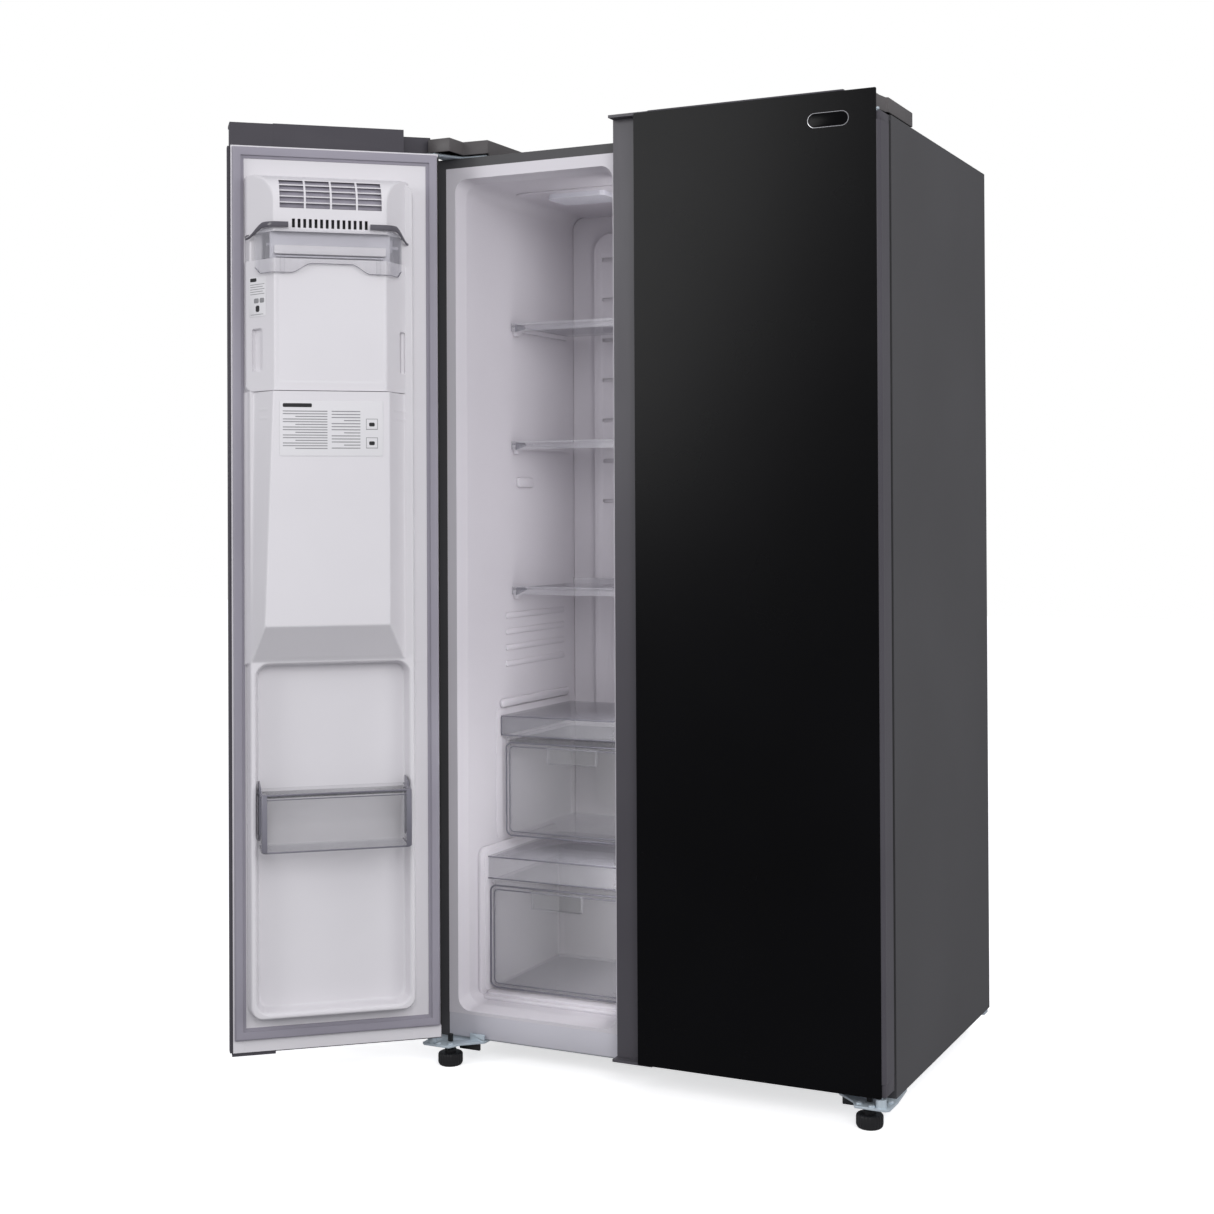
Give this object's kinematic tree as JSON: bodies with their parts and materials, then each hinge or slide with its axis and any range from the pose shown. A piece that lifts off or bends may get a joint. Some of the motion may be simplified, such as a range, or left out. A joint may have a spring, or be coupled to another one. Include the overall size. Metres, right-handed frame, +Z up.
{
  "type": "side by side refrigerator",
  "caption": "Freestanding side by side refrigerator with black glass doors, central handle recesses, ice maker, dispenser, shelves and drawers.",
  "frame": {"origin": "on the floor, under the middle of the whole footprint with the freezer door open as stored", "axes": "+Z up, the doors face -Y, +X to the right seen from the front"},
  "size_m": [1.1806, 0.9964, 1.757],
  "materials": {
    "painted_steel": "satin",
    "galvanised": "satin",
    "black_glass": "gloss",
    "grey_plastic": "satin",
    "white_plastic": "satin",
    "light_plastic": "satin",
    "clear_plastic": "gloss",
    "clear_glass": "gloss",
    "foam": "matte",
    "seal_rubber": "matte",
    "black_rubber": "matte",
    "black_plastic": "satin",
    "aluminium": "satin",
    "black_metal": "gloss",
    "lamp_lens": "gloss"
  },
  "bodies": {
    "cabinet": {"back_panel": "galvanised", "base_plate": "galvanised", "bottom_hinge_brackets": "galvanised", "cabinet_foam": "foam", "cabinet_shell": "painted_steel", "compressor": "black_metal", "compressor_mounts": "black_rubber", "condenser_coil": "black_metal", "cord_inlet": "black_plastic", "crisper_cover": "clear_glass", "drain_pan": "black_plastic", "evaporator_coil": "aluminium", "fan_motors": "black_plastic", "freezer_back_duct": "white_plastic", "freezer_drawer_covers": "clear_plastic", "freezer_liner": "white_plastic", "freezer_shelves": "clear_glass", "fridge_back_duct": "white_plastic", "fridge_liner": "white_plastic", "fridge_shelves": "clear_glass", "front_base_panel": "light_plastic", "hinge_covers": "grey_plastic", "interior_lamps": "lamp_lens", "machine_cover": "galvanised", "roller_axles": "galvanised", "top_hinge_brackets": "galvanised"},
    "freezer_door": {"dispenser_bezel": "black_plastic", "freezer_door_caps": "grey_plastic", "freezer_door_foam": "foam", "freezer_door_gasket": "seal_rubber", "freezer_door_glass": "black_glass", "freezer_door_handle_trim": "grey_plastic", "freezer_door_liner": "white_plastic", "freezer_door_side_profile": "grey_plastic", "ice_maker_housing": "white_plastic"},
    "fridge_door": {"fridge_door_bins": "clear_plastic", "fridge_door_caps": "grey_plastic", "fridge_door_foam": "foam", "fridge_door_gasket": "seal_rubber", "fridge_door_glass": "black_glass", "fridge_door_handle_trim": "grey_plastic", "fridge_door_liner": "white_plastic", "fridge_door_side_profile": "grey_plastic"},
    "condenser_fan": {"condenser_fan": "black_plastic"},
    "crisper_lower": {"crisper_lower": "clear_plastic"},
    "crisper_upper": {"crisper_upper": "clear_plastic"},
    "dispenser_paddle": {"dispenser_paddle": "grey_plastic"},
    "drip_tray": {"drip_tray": "grey_plastic"},
    "evaporator_fan": {"evaporator_fan": "white_plastic"},
    "freezer_door_bin": {"freezer_door_bin": "clear_plastic"},
    "freezer_drawer_lower": {"freezer_drawer_lower": "clear_plastic"},
    "freezer_drawer_upper": {"freezer_drawer_upper": "clear_plastic"},
    "front_foot_left": {"front_foot_left": "black_plastic"},
    "front_foot_right": {"front_foot_right": "black_plastic"},
    "ice_auger": {"ice_auger": "white_plastic"},
    "ice_bucket": {"ice_bucket": "white_plastic"},
    "ice_guard": {"ice_guard": "clear_plastic"},
    "ice_tray": {"ice_tray": "light_plastic"},
    "rear_roller_left": {"rear_roller_left": "black_plastic"},
    "rear_roller_right": {"rear_roller_right": "black_plastic"}
  },
  "joints": [
    {"name": "freezer_door_hinge", "type": "hinge", "parent": "cabinet", "child": "freezer_door", "pos_m": [-0.30467, -0.18577, 0.9], "axis": [0, 0, -1], "range_deg": [-138.8, 4]},
    {"name": "fridge_door_hinge", "type": "hinge", "parent": "cabinet", "child": "fridge_door", "pos_m": [0.57333, -0.18577, 0.9], "axis": [0, 0, 1], "range_deg": [0, 140]},
    {"name": "freezer_drawer_upper_slide", "type": "slide", "parent": "cabinet", "child": "freezer_drawer_upper", "axis": [0, -1, 0], "range_m": [0, 0.3]},
    {"name": "freezer_drawer_lower_slide", "type": "slide", "parent": "cabinet", "child": "freezer_drawer_lower", "axis": [0, -1, 0], "range_m": [0, 0.26]},
    {"name": "crisper_upper_slide", "type": "slide", "parent": "cabinet", "child": "crisper_upper", "axis": [0, -1, 0], "range_m": [0, 0.1]},
    {"name": "crisper_lower_slide", "type": "slide", "parent": "cabinet", "child": "crisper_lower", "axis": [0, -1, 0], "range_m": [0, 0.07]},
    {"name": "ice_bucket_slide", "type": "slide", "parent": "freezer_door", "child": "ice_bucket", "axis": [0.6587, -0.7524, 0], "range_m": [0, 0.16]},
    {"name": "ice_auger_spin", "type": "hinge", "parent": "ice_bucket", "child": "ice_auger", "pos_m": [-0.3892, -0.38071, 1.304], "axis": [-0.7524, -0.6587, 0], "continuous": true},
    {"name": "ice_tray_twist", "type": "hinge", "parent": "freezer_door", "child": "ice_tray", "pos_m": [-0.39089, -0.37422, 1.528], "axis": [-0.7524, -0.6587, 0], "range_deg": [0, 150]},
    {"name": "ice_guard_hinge", "type": "hinge", "parent": "ice_bucket", "child": "ice_guard", "pos_m": [-0.35647, -0.41354, 1.547], "axis": [-0.7524, -0.6587, 0], "range_deg": [0, 55]},
    {"name": "dispenser_paddle_hinge", "type": "hinge", "parent": "freezer_door", "child": "dispenser_paddle", "pos_m": [-0.40012, -0.34243, 1.082], "axis": [-0.7524, -0.6587, 0], "range_deg": [0, 9], "stiffness_Nm_per_rad": 0.5},
    {"name": "drip_tray_slide", "type": "slide", "parent": "freezer_door", "child": "drip_tray", "axis": [-0.6587, 0.7524, 0], "range_m": [0, 0.05]},
    {"name": "freezer_door_bin_lift", "type": "slide", "parent": "freezer_door", "child": "freezer_door_bin", "axis": [0, 0, 1], "range_m": [0, 0.03]},
    {"name": "condenser_fan_spin", "type": "hinge", "parent": "cabinet", "child": "condenser_fan", "pos_m": [0.06433, 0.39522, 0.14], "axis": [1, 0, 0], "continuous": true},
    {"name": "evaporator_fan_spin", "type": "hinge", "parent": "cabinet", "child": "evaporator_fan", "pos_m": [-0.11067, 0.37123, 1.01], "axis": [0, 1, 0], "continuous": true},
    {"name": "rear_roller_left_spin", "type": "hinge", "parent": "cabinet", "child": "rear_roller_left", "pos_m": [-0.26567, 0.45522, 0.015], "axis": [1, 0, 0], "continuous": true},
    {"name": "front_foot_left_turn", "type": "hinge", "parent": "cabinet", "child": "front_foot_left", "pos_m": [-0.27767, -0.16478, 0.02], "axis": [0, 0, 1], "continuous": true},
    {"name": "rear_roller_right_spin", "type": "hinge", "parent": "cabinet", "child": "rear_roller_right", "pos_m": [0.53433, 0.45522, 0.015], "axis": [1, 0, 0], "continuous": true},
    {"name": "front_foot_right_turn", "type": "hinge", "parent": "cabinet", "child": "front_foot_right", "pos_m": [0.54633, -0.16478, 0.02], "axis": [0, 0, 1], "continuous": true}
  ]
}
